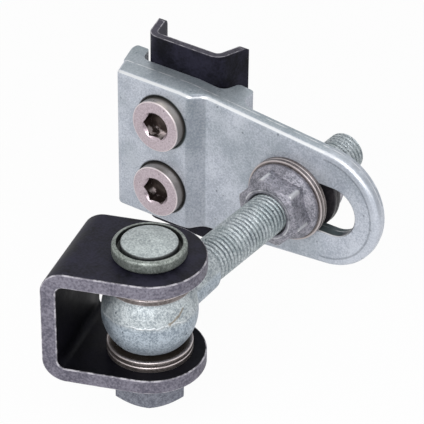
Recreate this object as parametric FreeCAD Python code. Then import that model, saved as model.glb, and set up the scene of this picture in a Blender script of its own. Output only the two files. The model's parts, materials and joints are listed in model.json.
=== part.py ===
import FreeCAD, Part
import math
import os

# Adjustable weld-on gate hinge, in millimetres.
# The origin lies on the post's face, midway between the channel's flanges and at mid height.
# +Y points into the post, +Z is up, and +X runs along the arm of the plate.

# Post channel, a folded strip with splayed flanges
channel_height = 83.0
channel_sheet = 3.0
channel_depth = 15.0
channel_web_width = 33.0
channel_splay = 17.0
channel_bend_radius = 2.5
channel_corner_radius = 3.0

# Hinge plate, one casting
plate_height = 61.0
pad_thickness = 13.5
arm_thickness = 5.8
arm_setback = 4.5
block_left = 21.3
block_right = 12.2
ramp_width = 4.2
ramp_radius = 4.0
plate_corner_radius = 3.0
least_corner_radius = 0.5
taper_start = 8.0
arm_end_radius = 24.5
arm_end_offset = 14.0
slot_width = 20.0
slot_length = 42.0
slot_reach = 28.3
slot_edge = 0.8
front_edge_radius = 2.0
parting_depth = 3.8
parting_step = 0.6
lug_reach = 7.5
lug_thickness = 7.2
lug_gap = 2.4
lug_end_radius = 1.8
lug_root_radius = 6.0

# Cap screws and the tapped bar behind the web
screw_thread = 12.0
screw_head = 21.0
screw_head_height = 5.0
screw_head_edge = 0.3
screw_end_edge = 1.0
screw_pitch = 29.2
screw_length = 24.0
socket_across_flats = 10.0
socket_depth = 5.0
socket_lead = 0.5
seat_depth = 0.5
seat_clearance = 0.5
bar_thickness = 8.0
bar_width = 24.0
bar_end = 11.0
bar_corner_radius = 3.0
height_travel = 8.0

# Eye bolt
bolt_thread = 16.0
thread_pitch = 2.0
thread_depth = 1.0
thread_crest = 0.6
bolt_offset = 56.0
eye_distance = 112.0
thread_start = 30.4
bolt_end = 128.5
end_chamfer = 1.5
ball_diameter = 34.0
ball_height = 22.4
neck_diameter = 18.4
neck_root_diameter = 19.8
neck_root = 14.0
neck_shoulder = 0.8

# Flange nuts and the paired rings beside the plate
nut_across_flats = 24.0
nut_height = 12.0
nut_face_edge = 0.3
flange_diameter = 30.6
flange_rim = 1.6
flange_slope = 1.9
flange_edge = 0.4
nut_face_diameter = 21.4
bore_lead = 0.9
lock_ring_diameter = 33.0
lock_ring_thickness = 1.8
ring_edge = 0.35
front_nut_turn = 12.0
rear_nut_turn = 20.0

# Gate bracket, a folded U of thick sheet
bracket_sheet = 5.5
bracket_width = 40.0
bracket_web_distance = 33.3
bracket_web_skew = 3.6
bracket_play = 1.5
bracket_bend_radius = 3.0
bracket_turn = 21.0

# Pin, its collar, nut and thrust washers
pin_diameter = 16.0
button_diameter = 20.4
button_height = 3.2
button_dome = 1.3
button_edge = 1.2
collar_diameter = 26.2
collar_height = 5.0
collar_recess = 22.8
collar_floor = 2.4
collar_edge = 1.3
collar_base_edge = 1.5
pin_nut_height = 12.4
pin_nut_turn = -55.0
pin_nut_bevel = 0.8
pin_tip = 1.6
pin_tip_edge = 1.2
thrust_washer_diameter = 30.5
thrust_washer_thickness = 2.1
washers_from_ball = ("inner", "outer")

# Fits
running_clearance = 0.05
thread_clearance = 0.1
loose_clearance = 0.5
swivel_clearance = 0.1
pin_seat_clearance = 0.2
washer_clearance = 0.3

# How far cutting tools run past a face, and how near two points are the same one
overrun = 1.0
same_point = 1e-6

# Places worked out from the sizes above
web_face = -channel_depth
web_back = web_face + channel_sheet
block_front = web_face - pad_thickness
arm_front = block_front + arm_setback
arm_back = arm_front + arm_thickness
pin_y = -eye_distance
slot_centre = bolt_offset + slot_reach - slot_length / 2
washer_stack = thrust_washer_thickness * len(washers_from_ball)
ball_seat = ball_height / 2 + swivel_clearance
flange_gap = ball_seat + washer_stack + bracket_play
bracket_height = 2 * (flange_gap + bracket_sheet)
chamfer_slope = math.tan(math.radians(30))
corner_ratio = 1 / math.cos(math.radians(30))


def point(x, y, z=0.0):
    return FreeCAD.Vector(x, y, z)


X_AXIS = point(1, 0, 0)
Y_AXIS = point(0, 1, 0)
Z_AXIS = point(0, 0, 1)


def flat_xy(a, b):
    return point(a, b, 0)


def flat_xz(a, b):
    return point(a, 0, b)


def rounded_wire(corners, place):
    """Closed wire through corners (a, b, radius), each rounded by a tangent arc."""
    spots = [point(a, b) for a, b, radius in corners]
    ends = []
    for index, (a, b, radius) in enumerate(corners):
        here = spots[index]
        to_last = (spots[index - 1] - here).normalize()
        to_next = (spots[(index + 1) % len(spots)] - here).normalize()
        half = to_last.getAngle(to_next) / 2
        if radius <= 0 or half > math.pi / 2 - same_point:
            ends.append((here, None, here))
            continue
        trim = radius / math.tan(half)
        middle = (to_last + to_next).normalize()
        crown = here + middle * (radius / math.sin(half) - radius)
        ends.append((here + to_last * trim, crown, here + to_next * trim))
    edges = []
    for index, (start, crown, finish) in enumerate(ends):
        if crown is not None:
            arc = Part.Arc(place(start.x, start.y), place(crown.x, crown.y), place(finish.x, finish.y))
            edges.append(arc.toShape())
        following = ends[(index + 1) % len(ends)][0]
        if finish.distanceToPoint(following) > same_point:
            line = Part.LineSegment(place(finish.x, finish.y), place(following.x, following.y))
            edges.append(line.toShape())
    return Part.Wire(edges)


def prism(corners, place, start, reach):
    """Solid with a rounded outline, moved by start and extruded by reach."""
    face = Part.Face(rounded_wire(corners, place))
    face.translate(start)
    return face.extrude(reach)


def turned(corners, axis_y=False):
    """Solid turned about Z, or about Y, from a profile of (radius, height, rounding) corners."""
    if axis_y:
        face = Part.Face(rounded_wire(corners, flat_xy))
        return face.revolve(point(0, 0, 0), Y_AXIS, 360)
    face = Part.Face(rounded_wire(corners, flat_xz))
    return face.revolve(point(0, 0, 0), Z_AXIS, 360)


def hexagon(across_flats, turn):
    """Corners of a hexagon, the first one turned by the given degrees."""
    radius = across_flats / 2 * corner_ratio
    angles = [math.radians(turn + 60 * k) for k in range(6)]
    return [(radius * math.cos(a), radius * math.sin(a), 0) for a in angles]


def channel_profile():
    """Section of the post channel: web in front, flanges splayed towards the post."""
    lean = math.radians(channel_splay)
    outward, back = math.sin(lean), math.cos(lean)
    flange = (channel_depth - channel_sheet * outward) / back
    half = channel_web_width / 2
    outer_end = (half + flange * outward, web_face + flange * back)
    inner_end = (outer_end[0] - channel_sheet * back, outer_end[1] + channel_sheet * outward)
    inner_half = half - channel_sheet * math.tan((math.pi / 2 - lean) / 2)
    outer = channel_bend_radius + channel_sheet
    right = [
        (half, web_face, outer),
        (outer_end[0], outer_end[1], 0),
        (inner_end[0], inner_end[1], 0),
        (inner_half, web_back, channel_bend_radius),
    ]
    left = [(-x, y, radius) for x, y, radius in reversed(right)]
    return right + left


def channel_side_trim():
    """Rounds the free corners of both flanges, seen from the side."""
    half = channel_height / 2
    front = web_face - channel_sheet
    corners = [
        (front, -half, 0),
        (0, -half, channel_corner_radius),
        (0, half, channel_corner_radius),
        (front, half, 0),
    ]
    reach = channel_web_width + 2 * channel_depth
    return prism(corners, lambda a, b: point(0, a, b), X_AXIS * (-reach / 2), X_AXIS * reach)


def slot_corners(width, length, centre_x, upright):
    """Outline of a round-ended slot, lying along X or standing along Z."""
    along, across = length / 2, width / 2
    if upright:
        along, across = across, along
    end = width / 2
    return [
        (centre_x - along, -across, end),
        (centre_x + along, -across, end),
        (centre_x + along, across, end),
        (centre_x - along, across, end),
    ]


def post_channel():
    body = prism(channel_profile(), flat_xy, Z_AXIS * (-channel_height / 2), Z_AXIS * channel_height)
    body = body.common(channel_side_trim())
    width = screw_thread + 2 * loose_clearance
    length = screw_pitch + 2 * height_travel + width
    corners = slot_corners(width, length, 0, True)
    start = Y_AXIS * (web_face - overrun)
    return body.cut(prism(corners, flat_xz, start, Y_AXIS * (channel_sheet + 2 * overrun)))


def plate_plan():
    """The casting seen from above: thick block, thin arm and two lugs round the channel."""
    lean = math.tan(math.radians(channel_splay))
    lug_end = web_face + lug_reach
    inner_foot = channel_web_width / 2 + lug_gap
    inner_end = inner_foot + lug_reach * lean
    outer_end = inner_end + lug_thickness
    far = bolt_offset + slot_length + arm_end_radius
    return [
        (-block_left, block_front, front_edge_radius),
        (block_right, block_front, ramp_radius),
        (block_right + ramp_width, arm_front, ramp_radius),
        (far, arm_front, 0),
        (far, arm_back, 0),
        (outer_end, arm_back, lug_root_radius),
        (outer_end, lug_end, lug_end_radius),
        (inner_end, lug_end, lug_end_radius),
        (inner_foot, web_face, channel_bend_radius + channel_sheet / 2),
        (-inner_foot, web_face, channel_bend_radius + channel_sheet / 2),
        (-inner_end, lug_end, lug_end_radius),
        (-outer_end, lug_end, lug_end_radius),
    ]


def plate_outline(inset):
    """The casting seen from the front: a block that tapers to a round end."""
    half = plate_height / 2 - inset
    radius = arm_end_radius - inset
    centre = bolt_offset + arm_end_offset
    run = centre - taper_start
    slope = math.asin(radius / math.hypot(run, half)) - math.atan2(half, run)
    touch_x = centre - radius * math.sin(slope)
    touch_z = radius * math.cos(slope)
    left = -block_left - lug_reach
    corner = max(plate_corner_radius - inset, least_corner_radius)
    crown = corner * (1 - math.sqrt(0.5))
    spots = [
        (taper_start, -half),
        (left + corner, -half),
        (left + crown, -half + crown),
        (left, -half + corner),
        (left, half - corner),
        (left + crown, half - crown),
        (left + corner, half),
        (taper_start, half),
        (touch_x, touch_z),
        (centre + radius, 0),
        (touch_x, -touch_z),
    ]
    spots = [flat_xz(a, b) for a, b in spots]
    return Part.Wire([
        Part.LineSegment(spots[0], spots[1]).toShape(),
        Part.Arc(spots[1], spots[2], spots[3]).toShape(),
        Part.LineSegment(spots[3], spots[4]).toShape(),
        Part.Arc(spots[4], spots[5], spots[6]).toShape(),
        Part.LineSegment(spots[6], spots[7]).toShape(),
        Part.LineSegment(spots[7], spots[8]).toShape(),
        Part.Arc(spots[8], spots[9], spots[10]).toShape(),
        Part.LineSegment(spots[10], spots[0]).toShape(),
    ])


def edges_on(solid, wire, low_y, high_y):
    """Edges of a solid that lie on an outline, seen along Y, between two depths."""
    tolerance = 0.02
    chosen = []
    for edge in solid.Edges:
        spot = edge.valueAt((edge.FirstParameter + edge.LastParameter) / 2)
        depths = [vertex.Point.y for vertex in edge.Vertexes] + [spot.y]
        if min(depths) < low_y - tolerance or max(depths) > high_y + tolerance:
            continue
        if wire.distToShape(Part.Vertex(flat_xz(spot.x, spot.z)))[0] < tolerance:
            chosen.append(edge)
    return chosen


def round_hole(diameter, base, depth, height):
    """Cutter that runs along Y from base, at the given height."""
    return Part.makeCylinder(diameter / 2, depth, point(0, base, height), Y_AXIS)


def hinge_plate():
    plan = prism(plate_plan(), flat_xy, Z_AXIS * (-plate_height), Z_AXIS * (2 * plate_height))
    parting = arm_front + parting_depth
    outline = plate_outline(0)
    front = Part.Face(outline).extrude(Y_AXIS * (parting - block_front + overrun))
    front.translate(Y_AXIS * (block_front - overrun))
    front = plan.common(front)
    front = front.makeFillet(front_edge_radius, edges_on(front, outline, block_front, arm_front))
    rear = Part.Face(plate_outline(parting_step)).extrude(Y_AXIS * (channel_depth + parting_depth))
    rear.translate(Y_AXIS * parting)
    body = front.fuse(plan.common(rear)).removeSplitter()
    corners = slot_corners(slot_width, slot_length, slot_centre, False)
    start = Y_AXIS * (arm_front - overrun)
    body = body.cut(prism(corners, flat_xz, start, Y_AXIS * (arm_thickness + 2 * overrun)))
    mouth = rounded_wire(corners, flat_xz)
    body = body.makeFillet(slot_edge, edges_on(body, mouth, arm_front, arm_front))
    for height in (screw_pitch / 2, -screw_pitch / 2):
        start = block_front - overrun
        body = body.cut(round_hole(
            screw_thread + 2 * loose_clearance, start, pad_thickness + 2 * overrun, height))
        body = body.cut(round_hole(
            screw_head + 2 * seat_clearance, start, seat_depth + overrun, height))
    return body


def cap_screw(height):
    """Low-head screw with a hexagon socket, its head towards -Y."""
    head, shank = screw_head / 2, screw_thread / 2
    underside = block_front + seat_depth
    top = underside - screw_head_height
    body = turned([
        (0, top, 0),
        (head, top, screw_head_edge),
        (head, underside, 0),
        (shank, underside, 0),
        (shank, underside + screw_length, screw_end_edge),
        (0, underside + screw_length, 0),
    ], True)
    socket = prism(hexagon(socket_across_flats, 0), flat_xz, Y_AXIS * top, Y_AXIS * socket_depth)
    mouth = socket_across_flats / 2 * corner_ratio + socket_lead / 2
    lead = Part.makeCone(mouth, mouth - 2 * socket_lead, 2 * socket_lead, point(0, top, 0), Y_AXIS)
    body = body.cut(socket.fuse(lead))
    body.translate(Z_AXIS * height)
    return body


def clamp_bar():
    half_width = bar_width / 2
    half_height = screw_pitch / 2 + bar_end
    corners = [
        (-half_width, -half_height, bar_corner_radius),
        (half_width, -half_height, bar_corner_radius),
        (half_width, half_height, bar_corner_radius),
        (-half_width, half_height, bar_corner_radius),
    ]
    body = prism(corners, flat_xz, Y_AXIS * web_back, Y_AXIS * bar_thickness)
    for height in (screw_pitch / 2, -screw_pitch / 2):
        body = body.cut(round_hole(
            screw_thread + 2 * thread_clearance, web_back - overrun, bar_thickness + 2 * overrun, height))
    return body


def helix_turn(radius, height):
    """One turn of a right-hand helix about Z, from the given radius on the X axis and height."""
    turn = Part.makeHelix(thread_pitch, thread_pitch, radius)
    turn.translate(Z_AXIS * height)
    return turn.Edges[0]


def thread_end(height):
    """Two faces that close a thread's skin: a spiral ramp to the axis, and the step beside it."""
    crest = bolt_thread / 2
    axis = Part.makeLine(Z_AXIS * height, Z_AXIS * (height + thread_pitch))
    step = Part.makePolygon([
        flat_xz(0, height),
        flat_xz(crest, height),
        flat_xz(crest, height + thread_crest),
        flat_xz(crest - thread_depth, height + (thread_pitch + thread_crest) / 2),
        flat_xz(crest, height + thread_pitch),
        flat_xz(0, height + thread_pitch),
        flat_xz(0, height),
    ])
    return [Part.makeRuledSurface(axis, helix_turn(crest, height)), Part.Face(step)]


def threaded_rod(start, end):
    """Right-hand thread along +Y that reaches past both places, one turn after another."""
    crest = bolt_thread / 2
    rails = [
        helix_turn(crest, 0),
        helix_turn(crest, thread_crest),
        helix_turn(crest - thread_depth, (thread_pitch + thread_crest) / 2),
        helix_turn(crest, thread_pitch),
    ]
    bands = [Part.makeRuledSurface(lower, upper) for lower, upper in zip(rails, rails[1:])]
    count = math.ceil((end - start) / thread_pitch) + 2
    skin = [band.translated(Z_AXIS * (thread_pitch * turn)) for turn in range(count) for band in bands]
    shell = Part.makeShell(skin + thread_end(0) + thread_end(count * thread_pitch))
    shell.sewShape()
    rod = Part.makeSolid(shell)
    rod.rotate(point(0, 0, 0), X_AXIS, -90)
    rod.translate(Y_AXIS * (start - thread_pitch))
    return rod


def shank():
    """Threaded shank with a chamfered tip, its start hidden in the neck."""
    base, outside = thread_start - overrun, bolt_thread / 2 + overrun
    keep = turned([
        (0, base, 0),
        (outside, base, 0),
        (outside, bolt_end - end_chamfer - overrun, 0),
        (bolt_thread / 2 - end_chamfer, bolt_end, 0),
        (0, bolt_end, 0),
    ], True)
    return threaded_rod(base, bolt_end).common(keep)


def eye_bolt():
    """Ball with two flats, a flared neck and a threaded shank along +Y."""
    neck = turned([
        (0, 0, 0),
        (neck_root_diameter / 2, 0, 0),
        (neck_root_diameter / 2, neck_root, 0),
        (neck_diameter / 2, thread_start, neck_shoulder),
        (0, thread_start, 0),
    ], True)
    reach = ball_diameter + thread_start
    slab = Part.makeBox(2 * reach, 2 * reach, ball_height, point(-reach, -reach, -ball_height / 2))
    bore = Part.makeCylinder(
        pin_diameter / 2 + running_clearance, ball_diameter, point(0, 0, -ball_diameter / 2), Z_AXIS)
    head = Part.makeSphere(ball_diameter / 2).fuse(neck).common(slab).cut(bore)
    body = head.fuse(shank())
    body.translate(point(bolt_offset, pin_y, 0))
    return body


def flange_nut(face_y, direction, turn):
    """Nut whose flange bears at face_y and whose hexagon points along the direction, -1 or 1."""
    flange, across = flange_diameter / 2, nut_across_flats / 2
    bore = bolt_thread / 2 + thread_clearance
    face = nut_face_diameter / 2
    outside = across * corner_ratio + overrun
    hexagon_base = flange_rim + flange_slope / 2
    blank = prism(
        hexagon(nut_across_flats, turn), flat_xz,
        Y_AXIS * hexagon_base, Y_AXIS * (nut_height - hexagon_base))
    cone = turned([
        (0, 0, 0),
        (outside, 0, 0),
        (outside, nut_height - (outside - face) * chamfer_slope, 0),
        (face, nut_height, nut_face_edge),
        (0, nut_height, 0),
    ], True)
    disc = turned([
        (0, 0, 0),
        (flange, 0, flange_edge),
        (flange, flange_rim, flange_edge),
        (across, flange_rim + flange_slope, 0),
        (0, flange_rim + flange_slope, 0),
    ], True)
    hole = turned([
        (0, -overrun, 0),
        (bore + bore_lead + overrun, -overrun, 0),
        (bore, bore_lead, 0),
        (bore, nut_height - bore_lead, 0),
        (bore + bore_lead + overrun, nut_height + overrun, 0),
        (0, nut_height + overrun, 0),
    ], True)
    body = blank.common(cone).fuse(disc).removeSplitter().cut(hole)
    if direction < 0:
        body.rotate(point(0, 0, 0), Z_AXIS, 180)
    body.translate(point(bolt_offset, face_y, 0))
    return body


def ring(outer, bore, thickness, base, axis_y):
    """Flat washer with softened edges, from base upwards along its axis."""
    return turned([
        (bore / 2, base, ring_edge / 2),
        (outer / 2, base, ring_edge),
        (outer / 2, base + thickness, ring_edge),
        (bore / 2, base + thickness, ring_edge / 2),
    ], axis_y)


def lock_ring(base):
    body = ring(lock_ring_diameter, bolt_thread + 2 * loose_clearance, lock_ring_thickness, base, True)
    body.translate(X_AXIS * bolt_offset)
    return body


def bracket_profile():
    """Side view of the U, open towards +X, with the pin's axis at zero."""
    half, end = bracket_height / 2, bracket_width
    outer, inner = bracket_bend_radius + bracket_sheet, bracket_bend_radius
    web = -bracket_web_distance
    return [
        (web, -half, outer),
        (end, -half, 0),
        (end, -half + bracket_sheet, 0),
        (web + bracket_sheet, -half + bracket_sheet, inner),
        (web + bracket_sheet, half - bracket_sheet, inner),
        (end, half - bracket_sheet, 0),
        (end, half, 0),
        (web, half, outer),
    ]


def gate_bracket():
    """Folded U whose web leans in plan, its rear end nearer to the pin."""
    half = bracket_width / 2
    reach = point(bracket_web_skew, bracket_width)
    fold = prism(bracket_profile(), flat_xz, Y_AXIS * (-half), reach)
    plan = prism([
        (-bracket_web_distance, -half, 0),
        (half, -half, half),
        (half, half, half),
        (-bracket_web_distance, half, 0),
    ], flat_xy, Z_AXIS * (-bracket_height), Z_AXIS * (2 * bracket_height))
    hole = Part.makeCylinder(
        pin_diameter / 2 + pin_seat_clearance, 2 * bracket_height, point(0, 0, -bracket_height), Z_AXIS)
    return placed_on_pin(fold.common(plan).cut(hole))


def placed_on_pin(body):
    body.rotate(point(0, 0, 0), Z_AXIS, bracket_turn)
    body.translate(point(bolt_offset, pin_y, 0))
    return body


def hinge_pin():
    seat = bracket_height / 2 + collar_floor
    top = seat + button_height
    tip = -bracket_height / 2 - pin_nut_height - pin_tip
    flat = button_diameter / 2 - button_edge
    body = turned([
        (0, tip, 0),
        (pin_diameter / 2, tip, pin_tip_edge),
        (pin_diameter / 2, seat, 0),
        (button_diameter / 2, seat, 0),
        (button_diameter / 2, top, button_edge),
        (0, top, 0),
    ])
    dome_radius = (flat ** 2 + button_dome ** 2) / (2 * button_dome)
    dome = Part.makeSphere(dome_radius, point(0, 0, top + button_dome - dome_radius))
    cap = Part.makeCylinder(flat, button_height, point(0, 0, top - button_edge), Z_AXIS)
    return placed_on_pin(body.fuse(dome.common(cap)).removeSplitter())


def pin_collar():
    base = bracket_height / 2
    bore = pin_diameter / 2 + pin_seat_clearance
    outer, recess = collar_diameter / 2, collar_recess / 2
    body = turned([
        (bore, base, 0),
        (outer, base, collar_base_edge),
        (outer, base + collar_height, collar_edge),
        (recess, base + collar_height, ring_edge),
        (recess, base + collar_floor, ring_edge),
        (bore, base + collar_floor, 0),
    ])
    return placed_on_pin(body)


def pin_nut():
    """Low hexagon nut, chamfered on both faces, under the lower flange."""
    across = nut_across_flats / 2
    top = -bracket_height / 2
    bottom = top - pin_nut_height
    face = across - pin_nut_bevel
    outside = across * corner_ratio + overrun
    chamfer = (outside - face) * chamfer_slope
    blank = prism(
        hexagon(nut_across_flats, pin_nut_turn - bracket_turn), flat_xy,
        Z_AXIS * bottom, Z_AXIS * pin_nut_height)
    cone = turned([
        (0, bottom, 0),
        (face, bottom, 0),
        (outside, bottom + chamfer, 0),
        (outside, top - chamfer, 0),
        (face, top, 0),
        (0, top, 0),
    ])
    bore = pin_diameter / 2 + thread_clearance
    hole = turned([
        (0, bottom - overrun, 0),
        (bore + bore_lead + overrun, bottom - overrun, 0),
        (bore, bottom + bore_lead, 0),
        (bore, top + overrun, 0),
        (0, top + overrun, 0),
    ])
    return placed_on_pin(blank.common(cone).cut(hole))


def thrust_washers():
    """The upper washers rest on the ball's flat, and the lower ones lie on the bracket."""
    bore = pin_diameter + 2 * washer_clearance
    made = {}
    for index, rank in enumerate(washers_from_ball):
        upper = ball_seat + index * thrust_washer_thickness
        lower = -flange_gap + washer_stack - (index + 1) * thrust_washer_thickness
        for side, base in (("upper", upper), ("lower", lower)):
            washer = ring(thrust_washer_diameter, bore, thrust_washer_thickness, base, False)
            made[side + "_washer_" + rank] = placed_on_pin(washer)
    return made


def all_parts():
    front_stack = arm_front - 2 * lock_ring_thickness
    rear_stack = arm_back + 2 * lock_ring_thickness
    parts = {
        "post_channel": post_channel(),
        "hinge_plate": hinge_plate(),
        "upper_cap_screw": cap_screw(screw_pitch / 2),
        "lower_cap_screw": cap_screw(-screw_pitch / 2),
        "clamp_bar": clamp_bar(),
        "eye_bolt": eye_bolt(),
        "front_flange_nut": flange_nut(front_stack, -1, front_nut_turn),
        "rear_flange_nut": flange_nut(rear_stack, 1, rear_nut_turn),
        "front_lock_ring_outer": lock_ring(front_stack),
        "front_lock_ring_inner": lock_ring(arm_front - lock_ring_thickness),
        "rear_lock_ring_inner": lock_ring(arm_back),
        "rear_lock_ring_outer": lock_ring(arm_back + lock_ring_thickness),
        "gate_bracket": gate_bracket(),
        "hinge_pin": hinge_pin(),
        "pin_collar": pin_collar(),
        "pin_nut": pin_nut(),
    }
    parts.update(thrust_washers())
    return parts


os.makedirs("parts", exist_ok=True)
for name, shape in all_parts().items():
    solid = shape.Solids[0]
    print(name, shape.isValid(), len(shape.Solids), round(solid.Volume, 1))
    solid.exportStep("parts/" + name + ".step")
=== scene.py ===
import json
import math

import bmesh
import bpy
from bpy.props import FloatProperty, FloatVectorProperty, IntProperty, PointerProperty
from mathutils import Color, Matrix, Vector

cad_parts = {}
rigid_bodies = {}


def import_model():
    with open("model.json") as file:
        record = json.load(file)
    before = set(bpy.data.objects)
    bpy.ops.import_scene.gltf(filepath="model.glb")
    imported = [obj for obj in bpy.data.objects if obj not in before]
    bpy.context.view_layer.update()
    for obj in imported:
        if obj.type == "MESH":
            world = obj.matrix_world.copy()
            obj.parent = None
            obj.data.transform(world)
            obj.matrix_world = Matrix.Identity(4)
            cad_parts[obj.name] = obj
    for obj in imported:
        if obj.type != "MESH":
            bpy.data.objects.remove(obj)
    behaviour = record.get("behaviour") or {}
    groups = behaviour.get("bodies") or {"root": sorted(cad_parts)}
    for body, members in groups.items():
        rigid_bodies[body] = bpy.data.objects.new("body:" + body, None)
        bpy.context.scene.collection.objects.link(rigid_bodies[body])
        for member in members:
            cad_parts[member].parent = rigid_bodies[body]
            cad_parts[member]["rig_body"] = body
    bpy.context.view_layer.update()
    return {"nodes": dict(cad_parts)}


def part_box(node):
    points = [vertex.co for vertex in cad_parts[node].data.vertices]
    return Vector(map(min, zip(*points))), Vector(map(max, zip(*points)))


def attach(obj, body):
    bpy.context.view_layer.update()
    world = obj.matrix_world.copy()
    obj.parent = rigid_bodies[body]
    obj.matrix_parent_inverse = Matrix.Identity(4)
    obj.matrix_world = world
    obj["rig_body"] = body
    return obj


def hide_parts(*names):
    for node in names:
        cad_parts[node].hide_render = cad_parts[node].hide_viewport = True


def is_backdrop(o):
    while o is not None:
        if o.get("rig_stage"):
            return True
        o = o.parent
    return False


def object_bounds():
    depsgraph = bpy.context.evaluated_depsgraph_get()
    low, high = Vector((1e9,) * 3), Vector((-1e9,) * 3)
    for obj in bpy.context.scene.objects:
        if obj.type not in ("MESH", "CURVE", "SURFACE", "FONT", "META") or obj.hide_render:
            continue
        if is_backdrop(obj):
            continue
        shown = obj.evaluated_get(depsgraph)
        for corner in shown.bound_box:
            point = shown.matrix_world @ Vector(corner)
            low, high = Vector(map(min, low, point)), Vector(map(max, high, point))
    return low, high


bl_info = {
    "name": "Adjustable gate hinge",
    "version": (1, 0, 0),
    "blender": (4, 5, 0),
    "location": "View3D > Sidebar > Gate hinge",
    "description": "Dresses the packed solids of an adjustable weld-on gate hinge",
    "category": "Object",
}

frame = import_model()

MM = 0.001
DEGREE = math.radians(1)
SIDEBAR = "Gate hinge"


def middle(node):
    """Middle of a CAD node's box."""
    low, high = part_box(node)
    return (low + high) / 2


def span(node):
    """Size of a CAD node's box."""
    low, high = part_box(node)
    return high - low


# Places read from the frame
EYE = Vector((middle("hinge_pin").x, middle("hinge_pin").y, 0))
BOLT = Vector((middle("front_lock_ring_inner").x, 0, 0))
BOLT_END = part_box("eye_bolt")[1].y


class HingeSizes(bpy.types.PropertyGroup):
    thread_radius: FloatProperty(
        name="Thread radius", description="Outer radius of the bolt's thread",
        default=8 * MM, unit="LENGTH")
    thread_pitch: FloatProperty(
        name="Thread pitch", description="Distance between two crests", default=2 * MM, unit="LENGTH")
    thread_depth: FloatProperty(
        name="Thread depth", description="Crest to root", default=1.0 * MM, unit="LENGTH")
    thread_start: FloatProperty(
        name="Thread start", description="From the pin's axis to the neck's shoulder",
        default=30.4 * MM, unit="LENGTH")
    thread_crest: FloatProperty(
        name="Thread crest", description="Width of the flat crest", default=0.6 * MM, unit="LENGTH")
    thread_overrun: FloatProperty(
        name="Thread overrun", description="How far the thread's start is hidden in the neck",
        default=1.0 * MM, unit="LENGTH")
    tip_chamfer: FloatProperty(
        name="Tip chamfer", description="Chamfer at the bolt's free end", default=1.5 * MM, unit="LENGTH")
    around: IntProperty(name="Steps round", description="Faces round the thread", default=64, min=12)
    per_turn: IntProperty(name="Steps a turn", description="Rows in one pitch", default=10, min=6)
    bracket_turn: FloatProperty(
        name="Bracket turn", description="Direction of the bracket's flanges about Z",
        default=21 * DEGREE, subtype="ANGLE")
    bracket_sheet: FloatProperty(
        name="Bracket sheet", description="Thickness of the bracket's sheet", default=5.5 * MM, unit="LENGTH")
    sheet_edge: FloatProperty(
        name="Sheet edge", description="Rounding of the black sheet's cut edges",
        default=0.45 * MM, unit="LENGTH")
    # Width of the strip that takes the burr line and painted highlight along the channel's ends.
    burr_width: FloatProperty(
        name="Burr width", description="Width of the bright line along the channel's ends",
        default=0.4 * MM, unit="LENGTH")
    casting_edge: FloatProperty(
        name="Casting edge", description="Rounding of the plate's edges", default=0.5 * MM, unit="LENGTH")
    flash_height: FloatProperty(
        name="Flash height", description="Height of the forging's flash line above the ball's middle",
        default=2.6 * MM, unit="LENGTH")
    scratch_middle: FloatVectorProperty(
        name="Scratch middle", description="Middle of the brown scratch, from the ball's middle",
        default=(15.1 * MM, -4.9 * MM, 5.3 * MM), subtype="XYZ", unit="LENGTH")
    scratch_turn: FloatProperty(
        name="Scratch turn", description="Slope of the scratch about X", default=39 * DEGREE, subtype="ANGLE")
    arm_end: FloatProperty(
        name="Arm end", description="Centre of the arm's round end, along X", default=70 * MM, unit="LENGTH")
    arm_rim: FloatProperty(
        name="Arm rim", description="Radius inside which the arm's end is flat", default=21.2 * MM, unit="LENGTH")
    parting: FloatProperty(
        name="Parting", description="Depth of the plate's parting line behind the arm's face",
        default=3.8 * MM, unit="LENGTH")
    arm_face: FloatProperty(
        name="Arm face", description="Depth of the arm's front face", default=-24 * MM, unit="LENGTH")
    slot_start: FloatProperty(
        name="Slot start", description="Centre of the slot's left round end, along X", default=52.3 * MM, unit="LENGTH")
    slot_stop: FloatProperty(
        name="Slot stop", description="Centre of the slot's right round end, along X", default=74.3 * MM, unit="LENGTH")
    slot_radius: FloatProperty(
        name="Slot radius", description="Radius of the slot's round ends", default=10 * MM, unit="LENGTH")
    collar_recess: FloatProperty(
        name="Collar recess", description="Radius of the collar's cup", default=11.4 * MM, unit="LENGTH")
    seat_gap: FloatProperty(
        name="Seat gap", description="Play round a cap screw's head", default=0.5 * MM, unit="LENGTH")
    socket_reach: FloatProperty(
        name="Socket reach", description="Radius that holds a cap screw's socket", default=6.2 * MM, unit="LENGTH")
    socket_depth: FloatProperty(
        name="Socket depth", description="Depth of a cap screw's socket", default=5 * MM, unit="LENGTH")
    nut_corner: FloatProperty(
        name="Nut corner", description="Radius of the hexagon's corners", default=13.86 * MM, unit="LENGTH")
    nut_flange: FloatProperty(
        name="Nut flange", description="From the plate's middle to the end of a nut's cone",
        default=11.0 * MM, unit="LENGTH")
    nut_edge: FloatProperty(
        name="Nut edge", description="Rounding of the nuts' edges", default=0.45 * MM, unit="LENGTH")


def colour(name, description, red, green, blue):
    """A colour setting, given as seen on screen from 0 to 255."""
    return FloatVectorProperty(
        name=name, description=description, subtype="COLOR_GAMMA", size=3, min=0, max=1,
        default=(red / 255, green / 255, blue / 255))


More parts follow.
